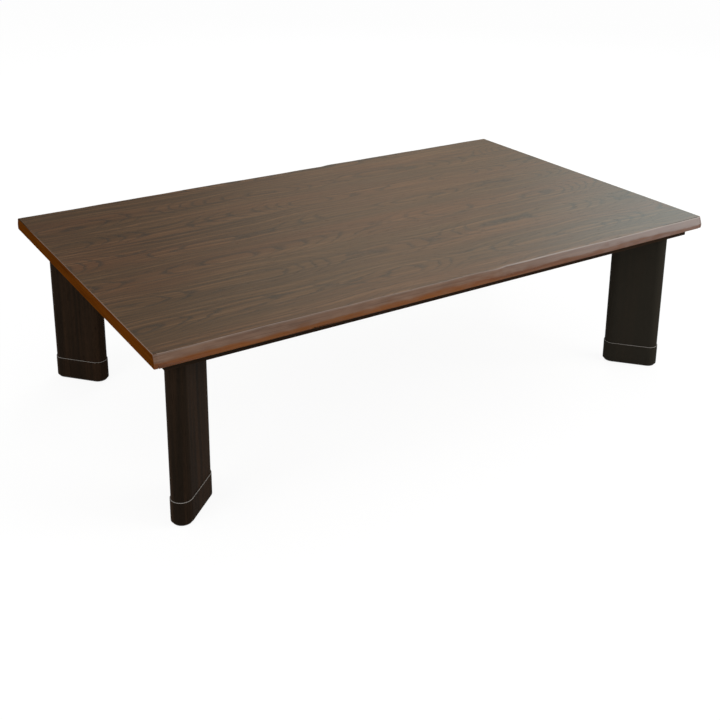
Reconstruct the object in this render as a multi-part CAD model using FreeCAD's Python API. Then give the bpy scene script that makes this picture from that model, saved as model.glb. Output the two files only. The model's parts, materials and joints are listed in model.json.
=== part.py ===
"""Low heated table: a lift-off wooden top on a slim frame, four board legs set on the diagonal with
extension feet, and a square fan heater hung in the middle of the frame.

Millimetres. The origin is on the floor under the middle of the table, +X runs along the long side,
+Y towards the back and +Z up.
"""
import FreeCAD, Part
import math
import os

from FreeCAD import Vector

# Overall sizes
table_length = 1500.0
table_width = 900.0
low_height = 375.0  # floor to top face on bare legs
extension_rise = 50.0  # what an extension foot adds

# Table top
top_thickness = 30.0
veneer_thickness = 1.0
backing_thickness = 1.0
side_lipping = 22.0  # solid strip along each long side
end_lipping = 8.0  # solid strip across each short side
arris_round = 2.0  # rounding of the short sides' upper edge

# Waved bevel of the long sides
bevel_mean = 6.5
bevel_swing = 2.4
crest_mean = 12.0  # height of the bevel's lower line above the underside
crest_swing = 3.6
undercut = 1.6  # how far the foot of the edge draws in
long_wave = 640.0
middle_wave = 287.0
short_wave = 121.0
long_wave_share = 0.5
middle_wave_share = 0.3
short_wave_share = 0.2
knuckle_place = 79.0  # right of the middle the bevel narrows and then steps back
knuckle_run = 190.0
knuckle_fall = 24.0
knuckle_rise = 4.2
rear_shift = 240.0  # the rear edge has the same waves, turned round and moved along
edge_sections = 74

# Bumpers under the top
bumper_radius = 7.5
bumper_thickness = 1.0
bumper_end_gap = 60.0  # from the outer face of an end apron to the first bumper

# Aprons and bars
end_overhang = 30.0
side_overhang = 25.0
apron_height = 20.0
apron_thickness = 21.0
bar_height = 18.0
bar_width = 30.0
dowel_radius = 2.5
dowel_length = 30.0
corner_dowel_spacing = 9.0
bar_dowel_spacing = 14.0
wood_clearance = 0.1
end_grain_relief = 0.5  # space left past the end of a dowel or screw

# Corner blocks
block_length = 160.0
block_width = 150.0
block_thickness = 16.0
tongue_depth = 6.0
tongue_thickness = 6.0

# Legs
leg_depth = 137.0  # long way of the section
leg_thickness = 46.0
leg_angle = 48.0  # degrees from the long side; each leg is square to the ones beside it
leg_side_inset = 77.0  # from the outer face of an end apron to the middle of a leg
leg_front_inset = 81.0  # from the outer face of a long apron to the middle of a leg
leg_foot_chamfer = 0.8

# Leg fastenings
hanger_radius = 4.0
hanger_spacing = 64.0
hanger_depth = 45.0
hanger_hole_radius = 4.5
hanger_end = 1.0  # thread showing above the nut
nut_recess_radius = 10.5
nut_recess_depth = 7.0
washer_radius = 9.0
washer_thickness = 1.6
nut_across_flats = 13.0
nut_height = 6.5
thread_clearance = 0.1
insert_radius = 6.0
insert_length = 18.0
insert_bore_clearance = 0.3

# Extension feet
socket_depth = 6.0
socket_clearance = 0.3
socket_wall = 1.5
foot_chamfer = 3.0
rim_chamfer = 0.6
foot_bolt_radius = 4.0
foot_bolt_grip = 16.0  # length inside the insert
foot_bolt_head_radius = 9.0
foot_bolt_head_height = 6.0
foot_bolt_hole_radius = 4.4
counterbore_radius = 11.0
counterbore_depth = 17.0
driver_across_flats = 6.0
driver_depth = 3.5
pad_thickness = 2.0
pad_inset = 4.0

# Heater case
case_width = 290.0
case_height = 62.0
case_top_gap = 5.0  # from the top of the bars to the case
case_wall = 1.2
case_clearance = 3.0
flange_width = 24.0
case_screw_radius = 2.0
case_screw_length = 17.0
case_screw_head_radius = 4.0
case_screw_head_height = 2.2
case_screw_reach = 120.0
board_thickness = 2.0
board_inset = 6.0

# Heater guard
bezel_overhang = 4.0
bezel_width = 20.0
bezel_height = 6.0
bezel_lip_height = 6.0
ledge_width = 6.0
ledge_height = 2.0
guard_rim = 4.0
guard_rim_height = 3.0
guard_wire_radius = 1.25
guard_cross_wire_radius = 0.9
guard_wires = 16
guard_cross_wires = 3
guard_clearance = 0.3
guard_screw_radius = 1.4
guard_screw_head_radius = 3.0
guard_screw_head_height = 1.5
guard_screw_reach = 100.0

# Reflector, tubes and fan
reflector_sheet = 1.0
reflector_drop = 18.0
reflector_slope_run = 32.0
reflector_lift = 5.0  # the reflector's foot above the end of the case walls
reflector_gap = 0.2
air_hole_radius = 52.0
tube_radius = 5.5
tube_wall = 1.1
tube_offset = 62.0  # from the middle to each tube
coil_radius = 3.0
holder_length = 18.0
holder_width = 18.0
holder_height = 17.0
holder_grip = 9.0
holder_end_gap = 1.6  # between a holder and the reflector's slope
coil_tail_radius = 1.0
post_radius = 1.5
post_inset = 4.0  # from the holder's outer end to the post
post_rise = 6.0  # above the reflector
motor_radius = 26.0
motor_height = 17.0
motor_bore_depth = 13.0
motor_screw_radius = 2.0
motor_screw_reach = 17.0
motor_screw_grip = 6.0
motor_screw_head_radius = 3.5
motor_screw_head_height = 1.6
shaft_radius = 2.5
shaft_clearance = 0.06
shaft_end_play = 0.5
hub_radius = 9.0
hub_height = 12.0
hub_gap = 3.5  # between the motor and the hub
fan_radius = 49.0
blade_count = 7
blade_width = 13.0
blade_sheet = 1.2
blade_pitch = 35.0  # degrees

# Electrical pieces
inlet_length = 24.0
inlet_width = 30.0
inlet_height = 20.0
inlet_wall = 4.0
inlet_back = 6.0
inlet_rise = 19.0  # middle of the inlet above the end of the case walls
inlet_spigot = 4.0
pin_radius = 2.0
pin_spacing = 13.0
pin_length = 12.0
pin_tail = 6.0
terminal_length = 30.0
terminal_width = 40.0
terminal_height = 14.0
terminal_offset = 108.0
terminal_pole_radius = 3.0
terminal_pole_depth = 4.0
terminal_poles = 3
thermostat_radius = 8.0
thermostat_height = 8.0
thermostat_cap_radius = 6.0
thermostat_cap_height = 3.0
thermostat_place = 78.0
lead_radius = 1.2
lead_bend = 3.0
lead_level = 22.0  # long leads above the reflector
lead_turn_out = 8.0  # straight part of a lead at a pin or at the fuse
fuse_length = 22.0
fuse_width = 6.0
fuse_height = 5.0
fuse_round = 1.2

# Places worked out from the sizes above
cut_overrun = 2.0
match_reach = 0.02  # how near an edge lies to count as the one meant
table_height = low_height + extension_rise
top_bottom = table_height - top_thickness
apron_top = top_bottom - bumper_thickness
apron_bottom = apron_top - apron_height
bar_bottom = apron_top - bar_height
frame_half_length = table_length / 2 - end_overhang
frame_half_width = table_width / 2 - side_overhang
inner_half_length = frame_half_length - apron_thickness
inner_half_width = frame_half_width - apron_thickness
case_half = case_width / 2
case_top = apron_top - case_top_gap
case_bottom = case_top - case_height
opening_half = case_half + case_clearance
bar_middle = opening_half + bar_width / 2
leg_round = leg_thickness / 2
leg_straight = leg_depth / 2 - leg_round
leg_turn = math.radians(leg_angle)
leg_x = frame_half_length - leg_side_inset
leg_y = frame_half_width - leg_front_inset
block_top = apron_bottom + block_thickness
nut_seat = block_top - nut_recess_depth
reflector_top = case_bottom + reflector_lift + reflector_drop
reflector_half = case_half - case_wall - reflector_gap
reflector_flat_half = reflector_half - reflector_slope_run
holder_end = reflector_flat_half - reflector_sheet - holder_end_gap
tube_half = holder_end - holder_length + holder_grip
motor_bottom = case_top - case_wall - motor_height
hub_top = motor_bottom - hub_gap
inlet_middle = case_bottom + inlet_rise
fuse_x = thermostat_cap_radius / 2 - thermostat_place
fuse_y = -thermostat_place
bezel_half = case_half + bezel_overhang
bezel_bottom = case_bottom - bezel_height
bezel_opening_half = bezel_half - bezel_width

CORNERS = {
    "front_left": (-1, -1),
    "front_right": (1, -1),
    "rear_left": (-1, 1),
    "rear_right": (1, 1),
}


def box(x0, x1, y0, y1, z0, z1):
    """A box between two corners, in any order."""
    low = Vector(min(x0, x1), min(y0, y1), min(z0, z1))
    return Part.makeBox(abs(x1 - x0), abs(y1 - y0), abs(z1 - z0), low)


def centred_box(half_x, half_y, z0, z1):
    return box(-half_x, half_x, -half_y, half_y, z0, z1)


def upright(radius, x, y, z0, z1):
    return Part.makeCylinder(radius, z1 - z0, Vector(x, y, z0))


def rod(radius, start, end):
    return Part.makeCylinder(radius, (end - start).Length, start, end - start)


def save(name, solids):
    """Writes one node; several solids stay separate inside it."""
    shape = Part.makeCompound(solids) if isinstance(solids, list) else solids
    shape.exportStep(os.path.join("parts", name + ".step"))


def wave(x):
    """Between about -1 and 1 along the long side."""
    return (
        long_wave_share * math.sin(2 * math.pi * x / long_wave)
        + middle_wave_share * math.sin(2 * math.pi * x / middle_wave + 1)
        + short_wave_share * math.sin(2 * math.pi * x / short_wave + 2)
    )


def ease(share):
    """From 0 to 1, level at both ends."""
    share = min(max(share, 0), 1)
    return share * share * (3 - 2 * share)


def edge_profile(x):
    """Points of a long side's outline at x, as places in from the widest line and heights."""
    knuckle = ease(1 + (x - knuckle_place) / knuckle_run) * (1 - ease((x - knuckle_place) / knuckle_fall))
    bevel = bevel_mean + bevel_swing * wave(x) - knuckle_rise * knuckle
    crest = crest_mean + crest_swing * wave(-x)
    return [(undercut, 0), (0, crest), (bevel, top_thickness)]


def top_section(x):
    """Corners of the whole top where it's cut at x."""
    half = table_width / 2
    front = [(inset - half, z) for inset, z in edge_profile(x)]
    rear = [(half - inset, z) for inset, z in edge_profile(rear_shift - x)]
    return [Vector(x, y, top_bottom + z) for y, z in front + rear[::-1]]


def section_face(corners):
    return Part.Face(Part.makePolygon(corners + corners[:1]))


def smooth_line(points):
    curve = Part.BSplineCurve()
    curve.interpolate(points)
    return curve.toShape()


def level_face(front, rear):
    """The flat face between a line along the front and one along the rear."""
    sides = [Part.makeLine(a.Point, b.Point) for a, b in zip(front.Vertexes, rear.Vertexes)]
    return Part.Face(Part.Wire([front, sides[1], rear, sides[0]]))


def top_envelope():
    """The outside of the top between the end strips, and the two end strips."""
    inner = table_length / 2 - end_lipping
    places = [-inner + 2 * inner * i / edge_sections for i in range(edge_sections + 1)]
    sections = [top_section(x) for x in places]
    lines = [smooth_line(list(row)) for row in zip(*sections)]
    front, rear = lines[:3], lines[3:]
    faces = [Part.makeRuledSurface(*pair) for side in (front, rear) for pair in zip(side, side[1:])]
    faces += [level_face(front[0], rear[2]), level_face(front[2], rear[0])]
    shell = Part.Shell(faces + [section_face(sections[0]), section_face(sections[-1])])
    shell.sewShape()
    middle = Part.Solid(shell)
    ends = [
        section_face(top_section(side * inner)).extrude(Vector(side * end_lipping, 0, 0))
        for side in (-1, 1)
    ]
    return middle, ends


def make_top():
    middle, ends = top_envelope()
    core_x = table_length / 2 - end_lipping
    core_y = table_width / 2 - side_lipping
    low = top_bottom + backing_thickness
    high = table_height - veneer_thickness
    wide = table_width
    save("top_core", centred_box(core_x, core_y, low, high))
    save("back_sheet", centred_box(core_x, core_y, top_bottom, low))
    save("face_veneer", middle.common(centred_box(core_x, wide, high, table_height)).Solids[0])
    for name, side in (("front", -1), ("rear", 1)):
        zone = box(-core_x, core_x, side * core_y, side * wide, top_bottom, high)
        save(name + "_lipping", middle.common(zone).Solids[0])
    for name, end in zip(("left", "right"), ends):
        upper = [
            edge
            for edge in end.Edges
            if abs(edge.CenterOfMass.z - table_height) < match_reach
            and abs(abs(edge.CenterOfMass.x) - table_length / 2) < match_reach
        ]
        save(name + "_lipping", end.makeFillet(arris_round, upper))


def make_bumpers():
    """Thin discs under the top that sit on the aprons."""
    middle_x = frame_half_length - apron_thickness / 2
    middle_y = frame_half_width - apron_thickness / 2
    along = frame_half_length - bumper_end_gap
    places = [(sx * along, sy * middle_y) for sx in (-1, 1) for sy in (-1, 1)]
    places += [(0, -middle_y), (0, middle_y), (-middle_x, 0), (middle_x, 0)]
    save("top_bumpers", [upright(bumper_radius, x, y, apron_top, top_bottom) for x, y in places])


def dowel(start, direction):
    """A dowel centred on a joint face, and the hole it needs."""
    half = direction * (dowel_length / 2)
    relief = direction * (dowel_length / 2 + end_grain_relief)
    hole = rod(dowel_radius + wood_clearance, start - relief, start + relief)
    return rod(dowel_radius, start - half, start + half), hole


def frame_dowels():
    """Two dowels in each corner joint and at each end of each bar."""
    found = []
    apron_middle = apron_top - apron_height / 2
    bar_centre = apron_top - bar_height / 2
    rise = corner_dowel_spacing / 2
    step = bar_dowel_spacing / 2
    for sx, sy in CORNERS.values():
        x = sx * (inner_half_length + apron_thickness / 2)
        for dz in (-rise, rise):
            found.append(dowel(Vector(x, sy * inner_half_width, apron_middle + dz), Vector(0, 1, 0)))
        for shift in (-step, step):
            x = sx * bar_middle + shift
            found.append(dowel(Vector(x, sy * inner_half_width, bar_centre), Vector(0, 1, 0)))
            y = sy * bar_middle + shift
            found.append(dowel(Vector(sx * opening_half, y, bar_centre), Vector(1, 0, 0)))
    return found


def drill(solid, holes):
    """Cuts only the holes that reach the solid."""
    near = [hole for hole in holes if hole.BoundBox.intersect(solid.BoundBox)]
    return solid.cut(Part.makeCompound(near)) if near else solid


def corner_block(sx, sy, swell):
    """The block with its tongue, larger by swell for the groove that takes it."""
    x0 = sx * (inner_half_length - block_length)
    y0 = sy * (inner_half_width - block_width)
    body = box(x0, sx * inner_half_length, y0, sy * inner_half_width, apron_bottom, block_top)
    middle = apron_bottom + block_thickness / 2
    tongue = box(
        x0 - sx * swell,
        sx * (inner_half_length + tongue_depth + swell),
        y0 - sy * swell,
        sy * (inner_half_width + tongue_depth + swell),
        middle - tongue_thickness / 2 - swell,
        middle + tongue_thickness / 2 + swell,
    )
    return body, tongue


def leg_direction(sx, sy):
    """The long way of a leg's section, pointing out to its corner."""
    turn = leg_turn if sx * sy < 0 else math.pi / 2 - leg_turn
    return Vector(sx * math.cos(turn), sy * math.sin(turn), 0)


def hanger_places(sx, sy):
    """Where the two leg bolts stand."""
    step = leg_direction(sx, sy) * (hanger_spacing / 2)
    return [(sx * leg_x + k * step.x, sy * leg_y + k * step.y) for k in (-1, 1)]


def make_frame():
    dowels = frame_dowels()
    holes = [hole for _, hole in dowels]
    save("frame_dowels", [peg for peg, _ in dowels])
    grooves = [corner_block(sx, sy, wood_clearance)[1] for sx, sy in CORNERS.values()]
    for name, side in (("front", -1), ("rear", 1)):
        y0, y1 = side * inner_half_width, side * frame_half_width
        apron = box(-frame_half_length, frame_half_length, y0, y1, apron_bottom, apron_top)
        save(name + "_apron", drill(apron, holes + grooves))
        y0, y1 = side * opening_half, side * (opening_half + bar_width)
        bar = box(-opening_half, opening_half, y0, y1, bar_bottom, apron_top)
        save(name + "_heater_bar", drill(bar, holes))
    screws = [hole for _, hole in case_screws()]
    for name, side in (("left", -1), ("right", 1)):
        x0, x1 = side * inner_half_length, side * frame_half_length
        apron = box(x0, x1, -inner_half_width, inner_half_width, apron_bottom, apron_top)
        save(name + "_apron", drill(apron, holes + grooves))
        x0, x1 = side * opening_half, side * (opening_half + bar_width)
        bar = box(x0, x1, -inner_half_width, inner_half_width, bar_bottom, apron_top)
        save(name + "_cross_bar", drill(bar, holes + screws))
    for name, (sx, sy) in CORNERS.items():
        body, tongue = corner_block(sx, sy, 0)
        low, high = apron_bottom - cut_overrun, block_top + cut_overrun
        block = body.fuse(tongue).removeSplitter()
        for x, y in hanger_places(sx, sy):
            recess = upright(nut_recess_radius, x, y, nut_seat, high)
            block = block.cut(recess).cut(upright(hanger_hole_radius, x, y, low, high))
        save("corner_block_" + name, block)


def board_outline(sx, sy, grow, z):
    """Plan of a leg: a board with half-round edges, larger by grow all round."""
    centre = Vector(sx * leg_x, sy * leg_y, z)
    along = leg_direction(sx, sy)
    across = Vector(-along.y, along.x, 0)
    radius = leg_round + grow
    far, near = centre + along * leg_straight, centre - along * leg_straight
    lines = [
        Part.LineSegment(near + across * radius, far + across * radius),
        Part.Arc(far + across * radius, far + along * radius, far - across * radius),
        Part.LineSegment(far - across * radius, near - across * radius),
        Part.Arc(near - across * radius, near - along * radius, near + across * radius),
    ]
    return Part.Wire([line.toShape() for line in lines])


def board(sx, sy, grow, z0, z1):
    return Part.Face(board_outline(sx, sy, grow, z0)).extrude(Vector(0, 0, z1 - z0))


def edges_at(solid, z):
    """The edges that lie flat at height z."""
    return [e for e in solid.Edges if abs(e.BoundBox.ZMin - z) + abs(e.BoundBox.ZMax - z) < match_reach]


def make_legs():
    inserts = []
    bore = foot_bolt_radius + insert_bore_clearance
    for name, (sx, sy) in CORNERS.items():
        leg = board(sx, sy, 0, extension_rise, apron_bottom)
        leg = leg.makeChamfer(leg_foot_chamfer, edges_at(leg, extension_rise))
        pilot = hanger_radius + wood_clearance
        low = apron_bottom - hanger_depth - end_grain_relief
        cuts = [upright(pilot, x, y, low, apron_bottom + cut_overrun) for x, y in hanger_places(sx, sy)]
        x, y = sx * leg_x, sy * leg_y
        seat = insert_radius + wood_clearance
        top = extension_rise + insert_length
        cuts.append(upright(seat, x, y, extension_rise - cut_overrun, top + end_grain_relief))
        save("leg_" + name, leg.cut(Part.makeCompound(cuts)))
        insert = upright(insert_radius, x, y, extension_rise, top)
        inserts.append(insert.cut(upright(bore, x, y, extension_rise - cut_overrun, top + cut_overrun)))
    save("leg_inserts", inserts)


def hexagon(across_flats, x, y, z0, z1):
    radius = across_flats / math.sqrt(3)
    turns = [math.radians(60 * k) for k in range(7)]
    points = [Vector(x + radius * math.cos(t), y + radius * math.sin(t), z0) for t in turns]
    return Part.Face(Part.makePolygon(points)).extrude(Vector(0, 0, z1 - z0))


def make_leg_fastenings():
    bolts, washers, nuts = [], [], []
    washer_top = nut_seat + washer_thickness
    nut_top = washer_top + nut_height
    bore = hanger_radius + thread_clearance
    for sx, sy in CORNERS.values():
        for x, y in hanger_places(sx, sy):
            bolts.append(upright(hanger_radius, x, y, apron_bottom - hanger_depth, nut_top + hanger_end))
            hole = upright(bore, x, y, nut_seat - cut_overrun, nut_top + cut_overrun)
            washers.append(upright(washer_radius, x, y, nut_seat, washer_top).cut(hole))
            nuts.append(hexagon(nut_across_flats, x, y, washer_top, nut_top).cut(hole))
    save("leg_hanger_bolts", bolts)
    save("leg_washers", washers)
    save("leg_nuts", nuts)


def make_feet():
    """Extension feet: each a block with a shallow socket for the leg, a bolt and a floor pad."""
    bolts, pads = [], []
    outer = socket_clearance + socket_wall
    top = extension_rise + socket_depth
    head_top = pad_thickness + counterbore_depth
    head_low = head_top - foot_bolt_head_height
    for name, (sx, sy) in CORNERS.items():
        x, y = sx * leg_x, sy * leg_y
        foot = board(sx, sy, outer, pad_thickness, top)
        foot = foot.makeChamfer(foot_chamfer, edges_at(foot, pad_thickness))
        foot = foot.makeChamfer(rim_chamfer, edges_at(foot, top))
        foot = foot.cut(board(sx, sy, socket_clearance, extension_rise, top + cut_overrun))
        foot = foot.cut(upright(counterbore_radius, x, y, pad_thickness - cut_overrun, head_top))
        save("foot_" + name, foot.cut(upright(foot_bolt_hole_radius, x, y, pad_thickness, top)))
        bolt = upright(foot_bolt_head_radius, x, y, head_low, head_top)
        bolt = bolt.fuse(upright(foot_bolt_radius, x, y, head_top, extension_rise + foot_bolt_grip))
        key = hexagon(driver_across_flats, x, y, head_low - cut_overrun, head_low + driver_depth)
        bolts.append(bolt.cut(key))
        pad = board(sx, sy, outer - pad_inset, 0, pad_thickness)
        access = upright(counterbore_radius, x, y, -cut_overrun, pad_thickness + cut_overrun)
        pads.append(pad.cut(access))
    save("foot_bolts", bolts)
    save("foot_pads", pads)


def case_screws():
    """Screws that hold the case flange up to the cross bars, each with its hole."""
    found = []
    under = bar_bottom - case_wall
    for sx, sy in CORNERS.values():
        x, y = sx * bar_middle, sy * case_screw_reach
        screw = upright(case_screw_head_radius, x, y, under - case_screw_head_height, under)
        screw = screw.fuse(upright(case_screw_radius, x, y, under, under + case_screw_length))
        hole_top = under + case_screw_length + end_grain_relief
        hole = upright(case_screw_radius + wood_clearance, x, y, under - cut_overrun, hole_top)
        found.append((screw, hole))
    return found


def guard_screws():
    """Screws through the bezel's lip and the case wall, each with its hole."""
    found = []
    z = case_bottom + bezel_lip_height / 2
    length = bezel_overhang + case_wall
    for sx, sy in CORNERS.values():
        outside = Vector(sx * guard_screw_reach, sy * bezel_half, z)
        inward = Vector(0, -sy, 0)
        head = rod(guard_screw_head_radius, outside, outside - inward * guard_screw_head_height)
        shank = rod(guard_screw_radius, outside, outside + inward * length)
        start = outside - inward * cut_overrun
        end = outside + inward * (length + cut_overrun)
        found.append((head.fuse(shank), rod(guard_screw_radius + thread_clearance, start, end)))
    return found


def motor_screws():
    """Screws through the case top into the motor, each with its hole."""
    found = []
    for side in (-1, 1):
        x = side * motor_screw_reach
        head = upright(motor_screw_head_radius, x, 0, case_top, case_top + motor_screw_head_height)
        low = case_top - case_wall - motor_screw_grip
        shank = upright(motor_screw_radius, x, 0, low, case_top)
        hole_low = low - end_grain_relief
        hole = upright(motor_screw_radius + thread_clearance, x, 0, hole_low, case_top + cut_overrun)
        found.append((head.fuse(shank), hole))
    return found


def make_heater_case():
    outer = centred_box(case_half, case_half, case_bottom, case_top)
    inner_half = case_half - case_wall
    flange_half = case_half + flange_width
    flange = centred_box(flange_half, flange_half, bar_bottom - case_wall, bar_bottom)
    hollow = centred_box(inner_half, inner_half, case_bottom - cut_overrun, case_top - case_wall)
    half_y = inlet_width / 2 - inlet_wall
    half_z = inlet_height / 2 - inlet_wall
    low, high = inlet_middle - half_z, inlet_middle + half_z
    passage = box(inner_half - cut_overrun, case_half + cut_overrun, -half_y, half_y, low, high)
    case = outer.fuse(flange).cut(hollow).cut(passage)
    holes = [hole for _, hole in case_screws() + guard_screws() + motor_screws()]
    save("heater_case", case.cut(Part.makeCompound(holes)))
    save("case_screws", [screw for screw, _ in case_screws()])
    half = case_half - board_inset
    sheet = centred_box(half, half, case_top, case_top + board_thickness)
    eyes = [
        upright(
            motor_screw_head_radius + guard_clearance,
            side * motor_screw_reach,
            0,
            case_top - cut_overrun,
            case_top + board_thickness + cut_overrun,
        )
        for side in (-1, 1)
    ]
    save("insulation_board", sheet.cut(Part.makeCompound(eyes)))


def make_guard():
    ring = centred_box(bezel_half, bezel_half, bezel_bottom, case_bottom)
    lip = centred_box(bezel_half, bezel_half, case_bottom, case_bottom + bezel_lip_height)
    seat_half = case_half + guard_clearance
    lip = lip.cut(centred_box(seat_half, seat_half, case_bottom, case_bottom + bezel_lip_height))
    ledge_top = bezel_bottom + ledge_height
    opening = bezel_opening_half
    wide = centred_box(opening, opening, ledge_top, case_bottom + cut_overrun)
    narrow_half = opening - ledge_width
    narrow = centred_box(narrow_half, narrow_half, bezel_bottom - cut_overrun, ledge_top)
    bezel = ring.fuse(lip).removeSplitter().cut(wide).cut(narrow)
    save("guard_bezel", bezel.cut(Part.makeCompound([hole for _, hole in guard_screws()])))
    save("guard_screws", [screw for screw, _ in guard_screws()])
    half = opening - guard_clearance
    low, high = ledge_top, ledge_top + guard_rim_height
    rim = centred_box(half, half, low, high)
    inner = half - guard_rim
    rim = rim.cut(centred_box(inner, inner, low - cut_overrun, high + cut_overrun))
    z = low + guard_rim_height / 2
    reach = inner + guard_rim / 2
    wires = []
    for k in range(guard_wires):
        x = -inner + 2 * inner * (k + 1) / (guard_wires + 1)
        wires.append(rod(guard_wire_radius, Vector(x, -reach, z), Vector(x, reach, z)))
    for k in range(guard_cross_wires):
        y = -inner + 2 * inner * (k + 1) / (guard_cross_wires + 1)
        wires.append(rod(guard_cross_wire_radius, Vector(-reach, y, z), Vector(reach, y, z)))
    save("guard_grille", rim.fuse(wires))


def square_wire(half, z):
    corners = ((-1, -1), (1, -1), (1, 1), (-1, 1), (-1, -1))
    return Part.makePolygon([Vector(half * sx, half * sy, z) for sx, sy in corners])


def pyramid(low_half, low, high_half, high):
    """A solid between two level squares."""
    return Part.makeLoft([square_wire(low_half, low), square_wire(high_half, high)], True, True)


def post_places():
    """Where the terminal post of each tube end stands."""
    x = holder_end - post_inset
    return [(sx * x, sy * tube_offset) for sx in (-1, 1) for sy in (-1, 1)]


def make_reflector():
    """A shallow square dish over the tubes, with a flat rim, an air hole and holes for the posts."""
    low = case_bottom + reflector_lift
    sheet = reflector_sheet
    foot_half = reflector_half - sheet
    outside = pyramid(foot_half, low, reflector_flat_half, reflector_top)
    inside = pyramid(foot_half - sheet, low, reflector_flat_half - sheet, reflector_top - sheet)
    rim = centred_box(reflector_half, reflector_half, low - sheet, low)
    window = foot_half - sheet
    rim = rim.cut(centred_box(window, window, low - sheet - cut_overrun, low))
    shell = outside.cut(inside).fuse(rim).removeSplitter()
    shell = shell.cut(upright(air_hole_radius, 0, 0, low, reflector_top + cut_overrun))
    for x, y in post_places():
        shell = shell.cut(upright(post_radius + wood_clearance, x, y, low, reflector_top + cut_overrun))
    save("heater_reflector", shell)


def make_tubes():
    under = reflector_top - reflector_sheet
    z = under - holder_height / 2
    over = Vector(cut_overrun, 0, 0)
    glass, coils = [], []
    for sy in (-1, 1):
        y = sy * tube_offset
        start, end = Vector(-tube_half, y, z), Vector(tube_half, y, z)
        bore = rod(tube_radius - tube_wall, start - over, end + over)
        glass.append(rod(tube_radius, start, end).cut(bore))
        coil = rod(coil_radius, start, end)
        tail = Vector(max(x for x, _ in post_places()) - post_radius, 0, 0)
        middle = Vector(0, y, z)
        coils.append(coil.fuse(rod(coil_tail_radius, middle - tail, middle + tail)))
    save("quartz_tubes", glass)
    save("heating_coils", coils)
    holders, posts = [], []
    for x, y in post_places():
        side = math.copysign(1, x)
        inner_x = side * (tube_half - holder_grip)
        outer_x = side * holder_end
        y0, y1 = y - holder_width / 2, y + holder_width / 2
        holder = box(inner_x, outer_x, y0, y1, under - holder_height, under)
        mouth = Vector(inner_x - side * cut_overrun, y, z)
        seat = Vector(side * (tube_half + end_grain_relief), y, z)
        post = Vector(x, y, z)
        holder = holder.cut(rod(tube_radius + wood_clearance, mouth, seat))
        holder = holder.cut(rod(coil_tail_radius + wood_clearance, mouth, post))
        low = z - coil_tail_radius
        holder = holder.cut(upright(post_radius + wood_clearance, x, y, low, under + cut_overrun))
        holders.append(holder)
        posts.append(upright(post_radius, x, y, low, reflector_top + post_rise))
    save("tube_holders", holders)
    save("tube_posts", posts)


def make_fan():
    motor_top = motor_bottom + motor_height
    motor = upright(motor_radius, 0, 0, motor_bottom, motor_top)
    bore_top = motor_bottom + motor_bore_depth
    bore = upright(shaft_radius + shaft_clearance, 0, 0, motor_bottom - cut_overrun, bore_top)
    holes = [hole for _, hole in motor_screws()]
    save("fan_motor", motor.cut(bore).cut(Part.makeCompound(holes)))
    save("motor_screws", [screw for screw, _ in motor_screws()])
    hub_low = hub_top - hub_height
    save("fan_shaft", upright(shaft_radius, 0, 0, hub_low, bore_top - shaft_end_play))
    middle = hub_top - hub_height / 2
    wheel = upright(hub_radius, 0, 0, hub_low, hub_top)
    blades = []
    for k in range(blade_count):
        root = hub_radius - blade_sheet
        blade = Part.makeBox(
            fan_radius - root,
            blade_width,
            blade_sheet,
            Vector(root, -blade_width / 2, middle - blade_sheet / 2),
        )
        blade.rotate(Vector(0, 0, middle), Vector(1, 0, 0), blade_pitch)
        blade.rotate(Vector(0, 0, 0), Vector(0, 0, 1), 360 * k / blade_count)
        blades.append(blade)
    wheel = wheel.fuse(blades)
    clear = upright(shaft_radius + shaft_clearance, 0, 0, hub_low - cut_overrun, hub_top + cut_overrun)
    save("fan_impeller", wheel.cut(clear))


def make_inlet():
    """The socket that a supply lead plugs into, with its two pins."""
    x0 = case_half
    x1 = case_half + inlet_length
    half_y, half_z = inlet_width / 2, inlet_height / 2
    body = box(x0, x1, -half_y, half_y, inlet_middle - half_z, inlet_middle + half_z)
    hollow_y, hollow_z = half_y - inlet_wall, half_z - inlet_wall
    low, high = inlet_middle - hollow_z, inlet_middle + hollow_z
    cavity = box(x0 + inlet_back, x1 + cut_overrun, -hollow_y, hollow_y, low, high)
    gap = guard_clearance
    spigot = box(x0 - inlet_spigot, x0, gap - hollow_y, hollow_y - gap, low + gap, high - gap)
    body = body.fuse(spigot).cut(cavity)
    pins = []
    for side in (-1, 1):
        y = side * pin_spacing / 2
        start = Vector(x0 - pin_tail, y, inlet_middle)
        end = Vector(x0 + inlet_back + pin_length, y, inlet_middle)
        body = body.cut(rod(pin_radius + wood_clearance, start, end))
        pins.append(rod(pin_radius, start, end))
    save("inlet_socket", body)
    save("inlet_pins", pins)


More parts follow.
